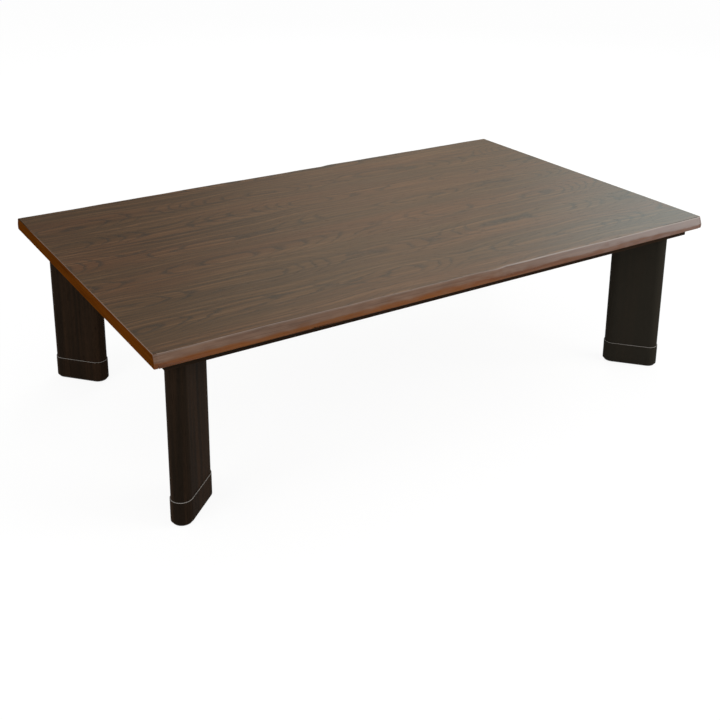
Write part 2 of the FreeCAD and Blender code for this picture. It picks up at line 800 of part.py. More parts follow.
def make_controls():
    """Terminal block under the case top, thermostat and thermal fuse on the reflector."""
    ceiling = case_top - case_wall
    low = ceiling - terminal_height
    pole_top = low + terminal_pole_depth
    half_x, half_y = terminal_length / 2, terminal_width / 2
    block = box(terminal_offset - half_x, terminal_offset + half_x, -half_y, half_y, low, ceiling)
    pitch = terminal_width / terminal_poles
    for k in range(terminal_poles):
        y = -half_y + pitch * (k + 1 / 2)
        for side in (-1, 1):
            x = terminal_offset + side * terminal_length / 4
            block = block.cut(upright(terminal_pole_radius, x, y, low - cut_overrun, pole_top))
    save("terminal_block", block)
    x = -thermostat_place
    cap_low = reflector_top + thermostat_height
    cup = upright(thermostat_radius, x, thermostat_place, reflector_top, cap_low)
    cap = upright(thermostat_cap_radius, x, thermostat_place, cap_low, cap_low + thermostat_cap_height)
    save("thermostat", cup.fuse(cap))
    x0, x1 = fuse_x - fuse_width / 2, fuse_x + fuse_width / 2
    y0, y1 = fuse_y - fuse_length / 2, fuse_y + fuse_length / 2
    fuse = box(x0, x1, y0, y1, reflector_top, reflector_top + fuse_height)
    long_edges = [e for e in fuse.Edges if abs(e.Length - fuse_length) < fuse_round / 10]
    upper = [e for e in long_edges if e.CenterOfMass.z > reflector_top + fuse_height / 2]
    save("thermal_fuse", fuse.makeFillet(fuse_round, upper))


def lead(*points):
    """A wire along straight runs with rounded corners."""
    points = [Vector(*point) for point in points]
    edges = []
    start = points[0]
    for before, corner, after in zip(points, points[1:], points[2:]):
        back = (before - corner).normalize()
        ahead = (after - corner).normalize()
        half_turn = (math.pi - back.getAngle(ahead)) / 2
        reach = lead_bend * math.tan(half_turn)
        centre = corner + (back + ahead).normalize() * (lead_bend / math.cos(half_turn))
        inside = centre + (corner - centre).normalize() * lead_bend
        near, far = corner + back * reach, corner + ahead * reach
        edges += [Part.LineSegment(start, near), Part.Arc(near, inside, far)]
        start = far
    edges.append(Part.LineSegment(start, points[-1]))
    path = Part.Wire([edge.toShape() for edge in edges])
    profile = Part.Wire([Part.Circle(points[0], points[1] - points[0], lead_radius).toShape()])
    return path.makePipeShell([profile], True, False)


def make_leads():
    """The wiring inside the heater, from the inlet round to the tubes, thermostat, fuse and motor."""
    join = case_top - case_wall - terminal_height / 2
    level = reflector_top + lead_level
    post_top = reflector_top + post_rise
    cap_top = reflector_top + thermostat_height + thermostat_cap_height
    fuse_middle = reflector_top + fuse_height / 2
    right = terminal_offset + terminal_length / 2
    left = terminal_offset - terminal_length / 2
    pin_x = case_half - pin_tail
    turn_x = pin_x - lead_turn_out
    leads = []
    for side in (-1, 1):
        y = side * pin_spacing / 2
        z = inlet_middle
        leads.append(lead((pin_x, y, z), (turn_x, y, z), (turn_x, y, join), (right, y, join)))
        motor_x = math.sqrt(motor_radius**2 - (pin_spacing / 2 - lead_radius) ** 2)
        leads.append(lead((left, y, join), (motor_x, y, join)))
    posts = {(math.copysign(1, x), math.copysign(1, y)): (x, y) for x, y in post_places()}
    for side in (-1, 1):
        x, y = posts[(1, side)]
        leads.append(lead((x, y, post_top), (x, y, join), (x, side * terminal_width / 2, join)))
    x, y = posts[(-1, 1)]
    cap_x = -thermostat_place - thermostat_cap_radius / 2
    cap_y = thermostat_place
    leads.append(lead((x, y, post_top), (x, y, level), (cap_x, cap_y, level), (cap_x, cap_y, cap_top)))
    near_end = fuse_y + fuse_length / 2
    turn_y = near_end + lead_turn_out
    leads.append(
        lead(
            (fuse_x, cap_y, cap_top),
            (fuse_x, cap_y, level),
            (fuse_x, turn_y, level),
            (fuse_x, turn_y, fuse_middle),
            (fuse_x, near_end, fuse_middle),
        )
    )
    x, y = posts[(-1, -1)]
    far_end = fuse_y - fuse_length / 2
    turn_y = far_end - lead_turn_out
    leads.append(
        lead(
            (fuse_x, far_end, fuse_middle),
            (fuse_x, turn_y, fuse_middle),
            (fuse_x, turn_y, level),
            (x, y, level),
            (x, y, post_top),
        )
    )
    save("internal_leads", leads)


os.makedirs("parts", exist_ok=True)
make_top()
make_bumpers()
make_frame()
make_legs()
make_leg_fastenings()
make_feet()
make_heater_case()
make_guard()
make_reflector()
make_tubes()
make_fan()
make_inlet()
make_controls()
make_leads()
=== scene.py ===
"""Looks, stage and camera for a low heated table.

Metres. The origin is on the floor under the middle of the table, +X runs along the long side, +Y towards
the back and +Z up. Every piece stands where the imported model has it.
"""
import json
import math

import bmesh
import bpy
from mathutils import Matrix, Vector

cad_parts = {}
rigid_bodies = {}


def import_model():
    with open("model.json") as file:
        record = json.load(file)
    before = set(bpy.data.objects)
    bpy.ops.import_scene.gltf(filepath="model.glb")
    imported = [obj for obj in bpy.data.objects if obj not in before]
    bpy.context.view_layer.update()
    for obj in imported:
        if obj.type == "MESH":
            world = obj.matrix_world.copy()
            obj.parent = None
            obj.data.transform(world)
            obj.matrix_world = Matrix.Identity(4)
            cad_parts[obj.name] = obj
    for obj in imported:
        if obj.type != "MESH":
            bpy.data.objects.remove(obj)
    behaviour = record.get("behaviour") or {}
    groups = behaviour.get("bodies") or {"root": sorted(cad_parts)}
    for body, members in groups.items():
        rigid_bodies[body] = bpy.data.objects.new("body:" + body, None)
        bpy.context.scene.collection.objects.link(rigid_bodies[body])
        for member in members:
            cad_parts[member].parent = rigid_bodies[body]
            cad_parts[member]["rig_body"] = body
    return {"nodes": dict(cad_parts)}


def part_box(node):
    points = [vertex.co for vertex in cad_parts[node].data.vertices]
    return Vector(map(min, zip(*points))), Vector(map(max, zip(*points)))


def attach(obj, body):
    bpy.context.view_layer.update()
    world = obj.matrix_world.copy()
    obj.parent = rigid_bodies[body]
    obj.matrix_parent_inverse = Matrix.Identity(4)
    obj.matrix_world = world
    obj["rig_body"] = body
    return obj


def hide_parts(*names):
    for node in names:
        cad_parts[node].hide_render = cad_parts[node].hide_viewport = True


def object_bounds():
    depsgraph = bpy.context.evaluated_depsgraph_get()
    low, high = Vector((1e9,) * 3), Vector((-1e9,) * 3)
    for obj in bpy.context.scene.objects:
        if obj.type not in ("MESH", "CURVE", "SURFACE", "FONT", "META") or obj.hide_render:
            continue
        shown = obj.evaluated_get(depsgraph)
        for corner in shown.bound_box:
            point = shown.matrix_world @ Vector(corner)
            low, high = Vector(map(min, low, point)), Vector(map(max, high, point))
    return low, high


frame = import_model()
cad_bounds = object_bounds()
nodes = frame["nodes"]

# Table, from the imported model
half_length = cad_bounds[1].x
top_height = cad_bounds[1].z
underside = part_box("front_lipping")[0].z

# Camera, from the photograph's edges and corners
photo_pixels = 720
focal_pixels = 1075.3
optical_row = 176.8  # the row straight ahead of the lens
camera_place = Vector((-1.4049, -2.1739, 1.3373))
camera_yaw = math.radians(-32.69)
camera_pitch = math.radians(17.26)
camera_roll = math.radians(0.51)
sensor_width = 36  # millimetres, as Blender wants it

# Floor and world
floor_reach = 16
floor_drop = 0.0003  # keeps the floor clear of the glide pads' lower faces
floor_grey = (0.8, 0.8, 0.8)
floor_seen_share = 0.15  # what the camera sees of the light on the floor, the rest being plain white
floor_glow_share = 0.9
world_strength = 0.55
white = (1, 1, 1)

# Card behind the table, which only the table's gloss shows
card_radius = 4.2
card_height = 8.0
card_start = math.radians(-110)  # from +Y towards +X
card_end = math.radians(88)
card_steps = 48
card_dark_x = 0.7
card_warm_x = 2.4
card_cool_x = 2.85
card_bright_x = 4.15
card_low_z = 1.2
card_high_z = 2.8
card_low_glow = 0.82
card_high_glow = 1.62
card_dark = (0.09, 0.09, 0.088)
card_warm = (0.59, 0.52, 0.43)
card_bright = (1.46, 1.82, 1.86)

# Lamps: place, aim, width and height, power in watts, colour, and whether gloss shows them
lamp_aim = (0, 0, 0.3)
lamps = {
    "key": ((2.3, -2.3, 1.8), (0.2, 0, 0.3), (2.0, 1.4), 46, (1, 0.99, 0.97), False),
    "fill": ((-3.4, -1.0, 1.8), lamp_aim, (2.0, 1.6), 26, (1, 0.98, 0.95), True),
    "back": ((2.6, 3.0, 2.8), lamp_aim, (2.4, 1.4), 40, (0.97, 1, 0.98), False),
}

# Veneer of the top; turns are a noise's scale per metre, along the grain first
leaf_width = 0.13
leaf_line = -0.08  # a line that the figure is centred on
leaf_wander = 0.03  # how far that line strays
leaf_wander_turns = (2.1, 4.0, 1)
ring_pitch = 0.0068
ring_lie = 0.16  # the most that the log's heart lies below a leaf
ring_lie_turns = (1.9, 2.2, 1)
ring_jag = 0.007  # unevenness of the rings
ring_jag_turns = (18, 60, 1)
crown_fade = (0.010, 0.045)  # the rings grow fainter from the first to the second, off the line
streak_flow = 0.09  # how far the streaks bend aside
streak_flow_turns = (1.7, 3.4, 1)
streak_turns = (1.5, 105, 1)
glint_turns = (3.0, 150, 1)
broad_turns = (1.0, 8.0, 1)
veneer_pore_turns = (65, 1100, 1100)
veneer_pore_depth = 0.00006
veneer_roughness = (0.36, 0.5)
oak_brown = (0.096, 0.051, 0.021)
oak_reddish = (0.124, 0.054, 0.021)
oak_dark_streak = (0.045, 0.027, 0.014)
oak_pale_streak = (0.180, 0.094, 0.041)
oak_glint = (0.25, 0.145, 0.072)
oak_ring = (0.032, 0.024, 0.016)
oak_pore = (0.012, 0.008, 0.006)

# Hewn edges of the long sides, with a painted sheen where the bevel looks up, growing towards +x
hewn_middle = underside + 0.012  # height at which the wood below gives way to the bevel's painted sheen
hewn_spread = 12  # how quickly it gives way, per metre of height
hewn_line_turns = (5, 330, 330)
hewn_patch_turns = (20, 80, 80)
hewn_long_patch_turns = (3.1, 5, 5)
hewn_line_depth = 0.0002
hewn_roughness = (0.30, 0.46)
hewn_gloss = {"IOR": 1.5, "Specular_IOR_Level": 0.16, "Specular_Tint": (1, 0.9, 0.8)}
sheen_paling_x = (-0.1, half_length)  # painted sheen: it pales from the first to the second
sheen_paling_share = 0.75
hewn_orange = (0.176, 0.050, 0.008)
hewn_deep = (0.124, 0.033, 0.006)
hewn_orange_line = (0.228, 0.081, 0.015)
# the wood below under the painted sheen towards +x
hewn_orange_sheen_paled = (0.150, 0.090, 0.070)
# greyish brown of the bevel's painted sheen where it looks up, with its fine lines, and at its strongest
# towards +x
hewn_bevel_sheen = (0.160, 0.095, 0.066)
hewn_bevel_light_sheen = (0.210, 0.128, 0.088)
hewn_bevel_sheen_line = (0.105, 0.063, 0.045)
hewn_bevel_sheen_paled = (0.310, 0.272, 0.260)

# Painted highlight along the crease at the top of the front edge
crease_z = (top_height - 0.0045, top_height - 0.0018)  # it sets in from the first to the second
crease_x = (0.02, 0.14)
crease_y = (-0.3, -0.42)
crease_left_share = 0.15
painted_crease_highlight = (0.39, 0.34, 0.31)

# Strips across the short sides
strip_line_turns = (6, 420, 420)
strip_patch_turns = (5, 40, 40)
strip_line_depth = 0.00015
strip_roughness = (0.34, 0.5)
strip_orange = (0.104, 0.0250, 0.0022)
strip_deep = (0.074, 0.0180, 0.0018)
strip_line = (0.135, 0.042, 0.004)

# Arrises of the top, with a painted highlight at the front and left and a painted dark reflection at the
# back and right
arris_patch_turns = (5, 95, 95)
arris_depth = 0.00005
arris_roughness = (0.42, 0.54)
# painted highlight of the arris, then the dark of a painted reflection, which also serves for patches of
# stain
painted_arris_highlight = (0.250, 0.180, 0.142)
arris_stain_and_dark_reflection = (0.018, 0.011, 0.007)
dark_reflection_from = (0.55, 0.25)  # where along x and y the arris's painted highlight begins to give way to its painted dark reflection
dark_reflection_to = (0.70, 0.40)

# Black wood of the legs and the frame
black_wood = (0.0166, 0.0116, 0.0080), (0.0336, 0.0192, 0.0114)
# painted sheen on the legs and feet, greyer towards +x
painted_sheen_grey = (0.030, 0.027, 0.021)
sheen_greying_x = (-0.2, 0.4)  # the legs' painted sheen grows greyer from the first to the second
sheen_greying_share = 0.8
# painted highlight along the top of the feet's rims
painted_rim_highlight = (0.30, 0.28, 0.26)
dull_gloss = {"IOR": 1.4, "Specular_IOR_Level": 0.003}

# Grain of lacquered wood
lacquer_streak_turns = (2.5, 95, 95)
lacquer_broad_turns = (1.3, 16, 16)
lacquer_pore_turns = (50, 1000, 1000)
lacquer_pore_depth = 0.00005

# Grain of metal, plastic, rubber and ceramic
grain_depth = 0.00003
blotch_grains = 12  # grains to a blotch
roughness_swing = 0.12  # how much rougher than the rest a finish is in its pores or blotches

# Easing of sharp edges
weld_reach = 1e-6
speck_reach = 6e-5  # the easing's corners leave specks smaller than this
joint_reach = 2e-5  # an edge this near a plane lies in it
flat_turn = math.radians(0.2)
sharp_turn = math.radians(20)
smooth_turn = math.radians(38)
level_rise = 0.99  # least upward part of the normal of a face that counts as level
rounding_rise = 0.6  # the same, for the rounding beside a level face
level_look = 1  # numbers of a dressed piece's materials, after its own
rounding_look = 2
easing_steps = 3
easing_profile = 0.5  # round
veneer_easing = 0.0008
edge_easing = 0.0018
rail_easing = 0.001
bezel_easing = 0.0008
inlet_easing = 0.0006
terminal_easing = 0.0005
hewn_edges = ("front_lipping", "rear_lipping")
end_strips = ("left_lipping", "right_lipping")
rails = (
    "front_apron",
    "rear_apron",
    "left_apron",
    "right_apron",
    "left_cross_bar",
    "right_cross_bar",
    "front_heater_bar",
    "rear_heater_bar",
)

# Heating coils
coil_wire_radius = 0.00035
coil_wire_resolution = 1
coil_pitch = 0.0017
coil_turn_steps = 12
coil_crest_share = 0.9  # of the rod's radius; only its thick part rises above this


class Shading:
    """The node tree of a material or of the world, put together node by node."""

    def __init__(self, owner):
        owner.use_nodes = True
        self.tree = owner.node_tree

    def node(self, kind, **settings):
        made = self.tree.nodes.new("ShaderNode" + kind)
        for name, value in settings.items():
            setattr(made, name, value)
        return made

    def put(self, socket, value):
        """Links an output to a socket, or writes a value into it."""
        if isinstance(value, bpy.types.NodeSocket):
            self.tree.links.new(value, socket)
        elif socket.type == "RGBA":
            socket.default_value = (*value, 1)
        else:
            socket.default_value = value

    def fill(self, sockets, values):
        for socket, value in zip(sockets, values):
            self.put(socket, value)

    def fill_named(self, made, **values):
        """Fills a node's sockets by name, with spaces written as underscores."""
        for name, value in values.items():
            self.put(made.inputs[name.replace("_", " ")], value)
        return made.outputs[0]

    def named(self, kind, **values):
        """A new node with sockets filled by name."""
        return self.fill_named(self.node(kind), **values)

    def joined(self, kind, *values, **settings):
        """A new node with its sockets filled in their order."""
        made = self.node(kind, **settings)
        self.fill(made.inputs, values)
        return made.outputs[0]

    def show(self, surface):
        output = next(made for made in self.tree.nodes if made.type.startswith("OUTPUT"))
        self.put(output.inputs["Surface"], surface)

    def math(self, operation, *values):
        return self.joined("Math", *values, operation=operation)

    def chained(self, operation, values):
        """Takes in one value after the other with an operation of two."""
        total = values[0]
        for value in values[1:]:
            total = self.math(operation, total, value)
        return total

    def add(self, *values):
        return self.chained("ADD", values)

    def times(self, *values):
        return self.chained("MULTIPLY", values)

    def largest(self, *values):
        return self.chained("MAXIMUM", values)

    def vector(self, *values):
        return self.joined("CombineXYZ", *values)

    def length(self, *values):
        made = self.node("VectorMath", operation="LENGTH")
        self.put(made.inputs[0], self.vector(*values))
        return made.outputs["Value"]

    def parts(self, vector):
        split = self.node("SeparateXYZ")
        self.put(split.inputs[0], vector)
        return split.outputs

    def place(self, along="x"):
        """Object coordinates, in an order that puts the one along the grain first."""
        x, y, z = self.parts(self.node("TexCoord").outputs["Object"])
        return {"x": (x, y, z), "y": (y, x, z), "z": (z, x, y)}[along]

    def normal(self, axis):
        """The part of the surface's normal along one axis."""
        return self.parts(self.node("NewGeometry").outputs["Normal"])[axis]

    def noise(self, place, scales, detail=2, roughness=0.5):
        """Noise between 0 and 1, with its scale along each coordinate in turns per metre."""
        scaled = self.vector(*[self.times(value, scale) for value, scale in zip(place, scales)])
        return self.named("TexNoise", Vector=scaled, Scale=1, Detail=detail, Roughness=roughness)

    def levels(self, value, low, high, to_low=0, to_high=1):
        """Carries low..high over to to_low..to_high, level at both ends."""
        ends = (low, high, to_low, to_high)
        return self.joined("MapRange", value, *ends, interpolation_type="SMOOTHSTEP")

    def blend(self, share, first, second):
        """One colour or another, by a share between 0 and 1."""
        made = self.node("Mix", data_type="RGBA")
        self.fill((made.inputs[0], made.inputs[6], made.inputs[7]), (share, first, second))
        return made.outputs[2]

    def seen_directly(self):
        """1 where the camera sees something straight, in a mirror or through glass, else 0."""
        path = self.node("LightPath")
        names = ("Is Camera Ray", "Is Glossy Ray", "Is Transmission Ray")
        return self.largest(*[path.outputs[name] for name in names])


class Finish(Shading):
    """A procedural material."""

    def __init__(self, name):
        self.material = bpy.data.materials.new(name)
        super().__init__(self.material)
        self.shader = self.tree.nodes["Principled BSDF"]

    def set(self, **values):
        """Fills sockets of the surface's shader by name."""
        return self.fill_named(self.shader, **values)

    def bump(self, height, depth):
        """Raises the surface by height times depth, in metres."""
        self.set(Normal=self.named("Bump", Height=height, Distance=depth))


def arris_colour(made):
    """Painted highlight at the front and left, giving way to a painted dark reflection at the back and
    right.
    """
    shares = [made.levels(*ends) for ends in zip(made.place(), dark_reflection_from, dark_reflection_to)]
    return made.blend(made.largest(*shares), painted_arris_highlight, arris_stain_and_dark_reflection)


def veneer_finish():
    """Dark stained oak: mirrored leaves with crown figure, open pores and a satin lacquer."""
    made = Finish("dark_oak_veneer")
    along, across, up = made.place()
    flat = (along, across, 0)
    wander = made.times(made.add(made.noise(flat, leaf_wander_turns), -0.5), leaf_wander)
    leaf = made.math("PINGPONG", made.add(across, wander, -leaf_line), leaf_width / 2)
    lie = made.times(made.noise(flat, ring_lie_turns, detail=1), ring_lie)
    jag = made.times(made.noise(flat, ring_jag_turns, detail=3, roughness=0.6), ring_jag)
    rings = made.math("DIVIDE", made.length(leaf, made.add(lie, jag), 0), ring_pitch)
    phase = made.math("FRACT", rings)
    early = made.times(made.levels(phase, 0, 0.08), made.levels(phase, 0.08, 0.42, 1, 0))
    crown = made.levels(leaf, *crown_fade, 0.8, 0.4)
    pores = made.levels(made.noise((along, across, up), veneer_pore_turns, detail=1), 0.56, 0.66)
    open_pores = made.times(pores, made.add(made.times(early, 0.7), 0.3))
    drift = made.times(made.noise(flat, streak_flow_turns), streak_flow)
    flow = (along, made.add(across, drift), 0)
    streaks = made.noise(flow, streak_turns, detail=3, roughness=0.66)
    glints = made.levels(made.noise(flow, glint_turns, roughness=0.6), 0.56, 0.76)
    broad = made.levels(made.noise(flat, broad_turns), 0.35, 0.68)
    colour = made.blend(broad, oak_brown, oak_reddish)
    colour = made.blend(made.levels(streaks, 0.56, 0.30, 0, 0.8), colour, oak_dark_streak)
    colour = made.blend(made.levels(streaks, 0.50, 0.74), colour, oak_pale_streak)
    colour = made.blend(made.times(glints, 0.45), colour, oak_glint)
    colour = made.blend(made.times(early, crown, 0.85), colour, oak_ring)
    colour = made.blend(made.times(open_pores, 0.5), colour, oak_pore)
    # the veneer's rounded edge takes the arris's painted highlight and painted dark reflection
    arris = made.levels(made.normal("Z"), 0.8, 0.97, 1, 0)
    made.set(Base_Color=made.blend(arris, colour, arris_colour(made)), IOR=1.5)
    dullness = made.add(open_pores, made.times(streaks, 0.4))
    made.set(Roughness=made.levels(dullness, 0, 1.2, *veneer_roughness))
    made.bump(made.times(made.add(open_pores, made.times(early, 0.4)), -1), veneer_pore_depth)
    return made.material


def hewn_colour(made):
    """Brownish orange wood below, with a painted sheen of greyish brown where the bevel looks up; also its
    fine lines.

    Both pale towards +x with more painted sheen, where the top of the front also has a painted highlight
    along its crease."""
    place = made.place()
    x, y, z = place
    lines = made.noise(place, hewn_line_turns, detail=3, roughness=0.7)
    patches = made.noise(place, hewn_patch_turns, detail=3)
    long_patches = made.levels(made.noise(place, hewn_long_patch_turns, detail=1), 0.38, 0.62)
    # painted sheen, growing towards +x
    sheen_paling = made.levels(x, *sheen_paling_x, 0, sheen_paling_share)
    lower = made.blend(long_patches, hewn_orange, hewn_deep)
    lower = made.blend(made.levels(lines, 0.35, 0.75), lower, hewn_orange_line)
    lower = made.blend(sheen_paling, lower, hewn_orange_sheen_paled)
    # the bevel's painted sheen where it looks up
    upper = made.blend(made.levels(patches, 0.3, 0.7), hewn_bevel_sheen, hewn_bevel_light_sheen)
    upper = made.blend(made.levels(lines, 0.4, 0.8), upper, hewn_bevel_sheen_line)
    upper = made.blend(sheen_paling, upper, hewn_bevel_sheen_paled)
    height = made.times(made.add(z, -hewn_middle), hewn_spread)
    turn = made.add(made.normal("Z"), height, made.add(patches, -0.5))
    colour = made.blend(made.levels(turn, -0.4, 0.55), lower, upper)
    # painted highlight along the crease, stronger towards +x
    at_right = made.levels(x, *crease_x, crease_left_share, 1)
    crease = made.times(made.levels(z, *crease_z), at_right, made.levels(y, *crease_y))
    return made.blend(crease, colour, painted_crease_highlight), lines


def edge_finish():
    """Hewn solid edge of a long side."""
    made = Finish("hewn_edge")
    colour, lines = hewn_colour(made)
    made.set(Base_Color=colour, **hewn_gloss)
    made.set(Roughness=made.levels(lines, 0.2, 0.8, *hewn_roughness))
    made.bump(lines, hewn_line_depth)
    return made.material


def strip_finish():
    """Orange brown strip across a short side, hewn where the long side's bevel runs out, with that bevel's
    painted sheen.
    """
    made = Finish("end_strip")
    place = made.place("y")
    lines = made.noise(place, strip_line_turns, detail=3, roughness=0.7)
    patches = made.levels(made.noise(place, strip_patch_turns), 0.35, 0.65)
    colour = made.blend(patches, strip_orange, strip_deep)
    colour = made.blend(made.levels(lines, 0.35, 0.75), colour, strip_line)
    # the side facing front or back takes the hewn edge's colour, painted sheen and highlight included
    turned = made.levels(made.math("ABSOLUTE", made.normal("Y")), 0.25, 0.7)
    made.set(Base_Color=made.blend(turned, colour, hewn_colour(made)[0]), Specular_IOR_Level=0)
    made.set(Roughness=made.levels(lines, 0.2, 0.8, *strip_roughness))
    made.bump(lines, strip_line_depth)
    return made.material


def arris_finish():
    """Upper rounding of a short side, with the arris's painted highlight and painted dark reflection, and
    random patches of stain.
    """
    made = Finish("arris_with_painted_highlight")
    patches = made.noise(made.place("y"), arris_patch_turns, detail=3, roughness=0.6)
    colour = made.blend(made.levels(patches, 0.35, 0.65, 0, 0.25), arris_colour(made), arris_stain_and_dark_reflection)
    made.set(Base_Color=colour, **dull_gloss)
    made.set(Roughness=made.levels(patches, 0.2, 0.8, *arris_roughness))
    made.bump(patches, arris_depth)
    return made.material


def lacquered_finish(name, along, dark, light, roughness, rim=None, greyed=None, **more):
    """Stained and lacquered straight-grained wood.

    A rim gets a painted highlight where it looks up, and a painted sheen may make it greyer at the right."""
    made = Finish(name)
    place = made.place(along)
    streaks = made.noise(place, lacquer_streak_turns, detail=3, roughness=0.6)
    broad = made.noise(place, lacquer_broad_turns, detail=1)
    pores = made.levels(made.noise(place, lacquer_pore_turns, detail=1), 0.58, 0.68)
    colour = made.blend(made.levels(made.add(streaks, broad), 0.75, 1.3), dark, light)
    colour = made.blend(made.times(pores, 0.6), colour, tuple(part / 2 for part in dark))
    # painted sheen: greyer towards +x
    if greyed:
        colour = made.blend(made.levels(made.place()[0], *sheen_greying_x, 0, sheen_greying_share), colour, greyed)
    # painted highlight on a rim where it looks up
    if rim:
        colour = made.blend(made.levels(made.normal("Z"), 0.3, 0.7), colour, rim)
    made.set(Base_Color=colour, **more)
    rougher = roughness + roughness_swing
    made.set(Roughness=made.levels(made.add(streaks, pores), 0.2, 1.6, roughness, rougher))
    made.bump(made.times(pores, -1), lacquer_pore_depth)
    return made.material


def grained_finish(name, colour, other, roughness, grain=400, metallic=0, stretch=1, **more):
    """Metal, plastic, rubber or ceramic with blotches, uneven gloss and a fine grain, in turns per metre.

    Drawn or rolled metal has its grain stretched along x."""
    made = Finish(name)
    place = made.place()
    fine = made.noise(place, (grain / stretch, grain, grain), detail=3)
    blotches = made.noise(place, (grain / blotch_grains,) * 3)
    made.set(Base_Color=made.blend(made.levels(made.add(fine, blotches), 0.75, 1.25), colour, other))
    made.set(Roughness=made.levels(blotches, 0.3, 0.7, roughness, roughness + roughness_swing))
    made.set(Metallic=metallic, **more)
    made.bump(fine, grain_depth)
    return made.material


def wood_finishes():
    """Materials of the wooden slots; where the grain's way depends on the piece, there is one for each."""
    leg_look = {"greyed": painted_sheen_grey, **dull_gloss}
    core_wood = (0.28, 0.19, 0.11), (0.42, 0.30, 0.18)
    brown_sheet = (0.060, 0.034, 0.020), (0.085, 0.050, 0.030)
    beech = (0.42, 0.27, 0.14), (0.55, 0.38, 0.22)
    return {
        "top_wood": veneer_finish(),
        "edge_wood": edge_finish(),
        "edge_wood_y": strip_finish(),
        "arris_wood": arris_finish(),
        "leg_wood": lacquered_finish("black_oak_leg", "z", *black_wood, 0.30, **leg_look),
        "foot_wood": lacquered_finish("black_oak_foot", "z", *black_wood, 0.34, painted_rim_highlight, **leg_look),
        "frame_wood": lacquered_finish("black_oak_rail_x", "x", *black_wood, 0.42, **dull_gloss),
        "frame_wood_y": lacquered_finish("black_oak_rail_y", "y", *black_wood, 0.42, **dull_gloss),
        "core_wood": lacquered_finish("particle_core", "x", *core_wood, 0.8),
        "backing": lacquered_finish("brown_backing", "x", *brown_sheet, 0.5),
        "dowel_wood": lacquered_finish("beech_dowel", "y", *beech, 0.6),
    }


def metal_finishes():
    """Materials of the metal slots, each with its two colours, its gloss and its grain."""
    zinc = (0.60, 0.62, 0.64), (0.72, 0.72, 0.70)
    brass = (0.72, 0.50, 0.20), (0.80, 0.58, 0.28)
    galvanised = (0.50, 0.52, 0.53), (0.66, 0.67, 0.67)
    bright = (0.82, 0.83, 0.84), (0.90, 0.90, 0.90)
    stamped = (0.74, 0.75, 0.76), (0.84, 0.84, 0.84)
    plated = (0.42, 0.43, 0.44), (0.55, 0.55, 0.55)
    oxidised = (0.30, 0.27, 0.24), (0.42, 0.36, 0.30)
    enamel = (0.012, 0.012, 0.013), (0.02, 0.02, 0.02)
    return {
        "zinc_steel": grained_finish("zinc_plate", *zinc, 0.28, 900, metallic=1),
        "brass": grained_finish("brass", *brass, 0.26, 900, metallic=1),
        "case_steel": grained_finish("galvanised_case", *galvanised, 0.34, 120, metallic=1),
        "reflector_aluminium": grained_finish(
            "bright_aluminium", *bright, 0.16, 800, metallic=1, stretch=12
        ),
        "fan_aluminium": grained_finish("fan_aluminium", *stamped, 0.3, 500, metallic=1, stretch=6),
        "motor_steel": grained_finish("motor_steel", *plated, 0.3, 700, metallic=1),
        "coil_wire": grained_finish("heating_wire", *oxidised, 0.4, 900, metallic=1),
        "black_metal": grained_finish("black_enamel", *enamel, 0.38, 700),
    }


def other_finishes():
    """Materials of the plastic, rubber, felt, glass and ceramic slots."""
    glide_grey = (0.06, 0.055, 0.05), (0.09, 0.085, 0.08)
    clear_rubber = (0.30, 0.29, 0.27), (0.36, 0.35, 0.33)
    felt = (0.55, 0.53, 0.48), (0.72, 0.70, 0.64)
    clear = (0.96, 0.96, 0.95), white
    steatite = (0.72, 0.69, 0.62), (0.82, 0.80, 0.74)
    black = (0.015, 0.015, 0.016), (0.025, 0.025, 0.026)
    pale = (0.68, 0.66, 0.58), (0.78, 0.76, 0.68)
    sleeve = (0.55, 0.53, 0.48), (0.66, 0.64, 0.58)
    return {
        "pad_plastic": grained_finish("grey_glide", *glide_grey, 0.55),
        "rubber": grained_finish("clear_bumper", *clear_rubber, 0.4),
        "insulation": grained_finish("insulation_felt", *felt, 0.9, 500),
        "quartz": grained_finish("quartz", *clear, 0.03, 300, Transmission_Weight=1, IOR=1.46),
        "ceramic": grained_finish("white_ceramic", *steatite, 0.35, 600),
        "black_plastic": grained_finish("black_moulding", *black, 0.4),
        "pale_plastic": grained_finish("pale_moulding", *pale, 0.4),
        "lead_rubber": grained_finish("lead_sleeve", *sleeve, 0.6, 1200),
    }


def finish_for(name):
    """The material of a node, by its slot and the way that its grain runs."""
    slot = slot_names[name]
    if name.startswith("foot_") and slot == "leg_wood":
        return finishes["foot_wood"]
    low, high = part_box(name)
    runs_across = high.y - low.y > high.x - low.x
    return finishes.get(slot + "_y", finishes[slot]) if runs_across else finishes[slot]


def dress_nodes():
    for name, node in nodes.items():
        for place in node.material_slots:
            place.material = finish_for(name)


def add_object(name, data, looks):
    made = bpy.data.objects.new(name, data)
    bpy.context.scene.collection.objects.link(made)
    for look in looks:
        data.materials.append(look)
    return made


def stand_for(name, ending, data, looks):
    """Puts a shape in a node's place, on the node's body and with its slot."""
    piece = add_object(name + ending, data, looks)
    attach(piece, nodes[name]["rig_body"])
    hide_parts(name)
    return piece


def joint_planes(name):
    """The six planes of a node's box, as the number of a coordinate and a value of it."""
    return [(axis, corner[axis]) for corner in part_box(name) for axis in range(3)]


def lies_in(edge, planes):
    return any(all(abs(v.co[axis] - value) < joint_reach for v in edge.verts) for axis, value in planes)


def round_edges(work, width, planes):
    """Rounds the sharp edges, but for those that lie in one of the planes."""
    sharp = [e for e in work.edges if e.is_manifold and e.calc_face_angle() > sharp_turn]
    sharp = [e for e in sharp if not lies_in(e, planes)]
    shape = {"offset": width, "segments": easing_steps, "profile": easing_profile, "affect": "EDGES"}
    bmesh.ops.bevel(work, geom=sharp, **shape)


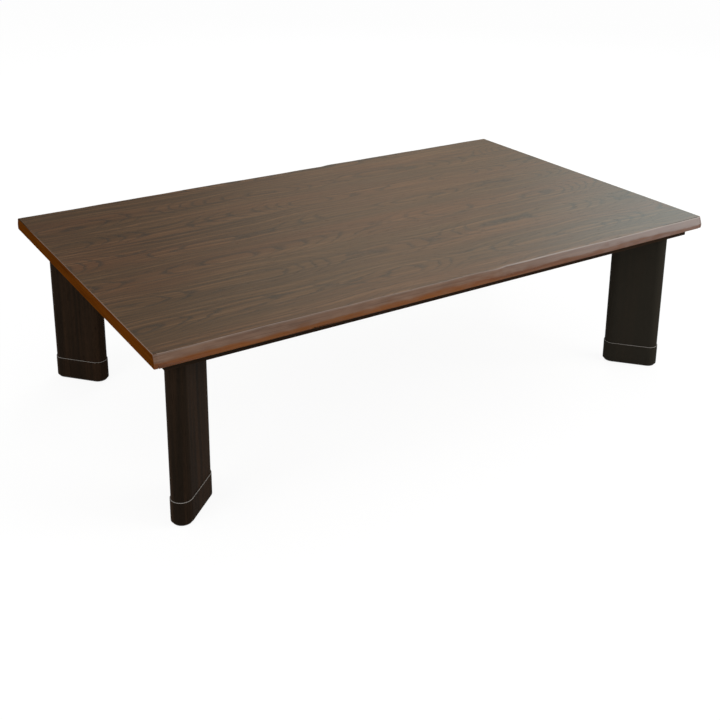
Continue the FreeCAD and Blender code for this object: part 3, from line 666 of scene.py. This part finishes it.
def clear_specks(work, low, high):
    """Takes out what the rounding leaves where short edges meet, and holds the height to the node's."""
    bmesh.ops.remove_doubles(work, verts=work.verts, dist=speck_reach)
    for vert in work.verts:
        vert.co.z = min(max(vert.co.z, low.z), high.z)
    bmesh.ops.dissolve_degenerate(work, dist=speck_reach, edges=work.edges)


def look_number(normal, dressed):
    """Which of its piece's materials a face has."""
    if dressed and normal.z > level_rise:
        return level_look
    if dressed and normal.z > rounding_rise and abs(normal.x) > abs(normal.y):
        return rounding_look
    return 0


def ease(name, width, planes=(), flat=True, dressed=False):
    """Puts a copy with rounded edges in a node's place.

    Where flat is set, faces in one plane are joined first. A dressed copy has the top's finish on its level
    faces and, on its upper rounding, one with a painted highlight and painted dark reflection."""
    mesh = bpy.data.meshes.new(name + "_eased")
    work = bmesh.new()
    work.from_mesh(nodes[name].data)
    bmesh.ops.remove_doubles(work, verts=work.verts, dist=weld_reach)
    if flat:
        bmesh.ops.dissolve_limit(work, angle_limit=flat_turn, verts=work.verts, edges=work.edges)
    round_edges(work, width, planes)
    clear_specks(work, *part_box(name))
    work.normal_update()
    for face in work.faces:
        face.smooth = True
        face.material_index = look_number(face.normal, dressed)
    work.to_mesh(mesh)
    work.free()
    mesh.set_sharp_from_angle(angle=smooth_turn)
    looks = [finish_for(name)]
    if dressed:
        looks += [finishes["top_wood"], finishes["arris_wood"]]
    piece = stand_for(name, "_eased", mesh, looks)
    piece.modifiers.new("flat_faces", "WEIGHTED_NORMAL").keep_sharp = True


def ease_all():
    core = joint_planes("top_core")
    ease("face_veneer", veneer_easing, core)
    for name in hewn_edges:
        ease(name, edge_easing, core, flat=False)
    for name in end_strips:
        ease(name, edge_easing, core, dressed=True)
    for name in rails:
        ease(name, rail_easing)
    ease("guard_bezel", bezel_easing)
    ease("inlet_socket", inlet_easing)
    ease("terminal_block", terminal_easing)


def make_coils():
    """Wound wire in place of the plain rods inside the tubes."""
    name = "heating_coils"
    low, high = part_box(name)
    height = (low.z + high.z) / 2
    radius = (high.z - low.z) / 2
    crest = height + radius * coil_crest_share
    wound = [v.co.x for v in nodes[name].data.vertices if v.co.z > crest]
    start, end = min(wound), max(wound)
    curve = bpy.data.curves.new(name + "_wound", "CURVE")
    curve.dimensions = "3D"
    curve.bevel_depth = coil_wire_radius
    curve.bevel_resolution = coil_wire_resolution
    steps = round((end - start) / coil_pitch * coil_turn_steps)
    swing = radius - coil_wire_radius
    for middle in (low.y + radius, high.y - radius):
        points = [Vector((low.x, middle, height))]
        for step in range(steps + 1):
            turn = 2 * math.pi * step / coil_turn_steps
            place = Vector((start + (end - start) * step / steps, middle, height))
            points.append(place + swing * Vector((0, math.cos(turn), math.sin(turn))))
        points.append(Vector((high.x, middle, height)))
        spline = curve.splines.new("POLY")
        spline.points.add(len(points) - 1)
        for target, point in zip(spline.points, points):
            target.co = (*point, 1)
    stand_for(name, "_wound", curve, [finishes[slot_names[name]]])


def make_floor():
    """A pale floor that the camera sees as white, with the table's soft shadow on it."""
    mesh = bpy.data.meshes.new("floor")
    signs = ((-1, -1), (1, -1), (1, 1), (-1, 1))
    corners = [(x * floor_reach, y * floor_reach, -floor_drop) for x, y in signs]
    mesh.from_pydata(corners, [], [range(len(corners))])
    made = Finish("pale_floor")
    lit = made.set(Base_Color=floor_grey, Roughness=1, Specular_IOR_Level=0)
    shaded = made.named("BsdfDiffuse", Color=(floor_seen_share,) * 3)
    glow = made.named("Emission", Strength=floor_glow_share)
    seen = made.joined("AddShader", shaded, glow)
    made.show(made.joined("MixShader", made.seen_directly(), lit, seen))
    floor = add_object("floor", mesh, [made.material])


def make_card():
    """A grey card behind the table, dark at the left, that only the table's gloss shows."""
    mesh = bpy.data.meshes.new("card")
    turns = [card_start + (card_end - card_start) * i / card_steps for i in range(card_steps + 1)]
    foot = [(card_radius * math.sin(turn), card_radius * math.cos(turn), 0) for turn in turns]
    head = [(x, y, card_height) for x, y, _ in foot]
    count = len(turns)
    mesh.from_pydata(foot + head, [], [(i, i + 1, count + i + 1, count + i) for i in range(card_steps)])
    made = Finish("grey_card")
    x, _, z = made.place()
    colour = made.blend(made.levels(x, card_dark_x, card_warm_x), card_dark, card_warm)
    colour = made.blend(made.levels(x, card_cool_x, card_bright_x), colour, card_bright)
    strength = made.levels(z, card_low_z, card_high_z, card_low_glow, card_high_glow)
    made.show(made.named("Emission", Color=colour, Strength=strength))
    card = add_object("card", mesh, [made.material])
    card.visible_camera = False
    card.visible_diffuse = False
    card.visible_shadow = False
    card.visible_transmission = False


def make_world():
    """Even light from all round, seen as white."""
    world = bpy.data.worlds.new("studio")
    bpy.context.scene.world = world
    made = Shading(world)
    lit = made.fill_named(made.tree.nodes["Background"], Color=white, Strength=world_strength)
    seen = made.named("Background", Color=white)
    made.show(made.joined("MixShader", made.seen_directly(), lit, seen))


def make_lamps():
    for name, (place, aim, size, power, colour, glossy) in lamps.items():
        lamp = bpy.data.lights.new(name, "AREA")
        lamp.shape = "RECTANGLE"
        lamp.size, lamp.size_y = size
        lamp.energy = power
        lamp.color = colour
        holder = add_object(name, lamp, [])
        holder.location = place
        holder.rotation_euler = (Vector(aim) - Vector(place)).to_track_quat("-Z", "Y").to_euler()
        holder.visible_glossy = glossy


def make_camera():
    lens = bpy.data.cameras.new("camera")
    lens.sensor_width = sensor_width
    lens.lens = focal_pixels / photo_pixels * sensor_width
    lens.shift_y = (optical_row - photo_pixels / 2) / photo_pixels
    camera = add_object("camera", lens, [])
    turn = Matrix.Rotation(camera_yaw, 4, "Z")
    turn @= Matrix.Rotation(math.pi / 2 - camera_pitch, 4, "X")
    turn @= Matrix.Rotation(camera_roll, 4, "Z")
    camera.matrix_world = Matrix.Translation(camera_place) @ turn
    bpy.context.scene.camera = camera


slot_names = {name: node.material_slots[0].material.name for name, node in nodes.items()}
finishes = {**wood_finishes(), **metal_finishes(), **other_finishes()}
dress_nodes()
ease_all()
make_coils()
make_floor()
make_card()
make_world()
make_lamps()
make_camera()
bpy.context.scene.view_settings.view_transform = "Standard"
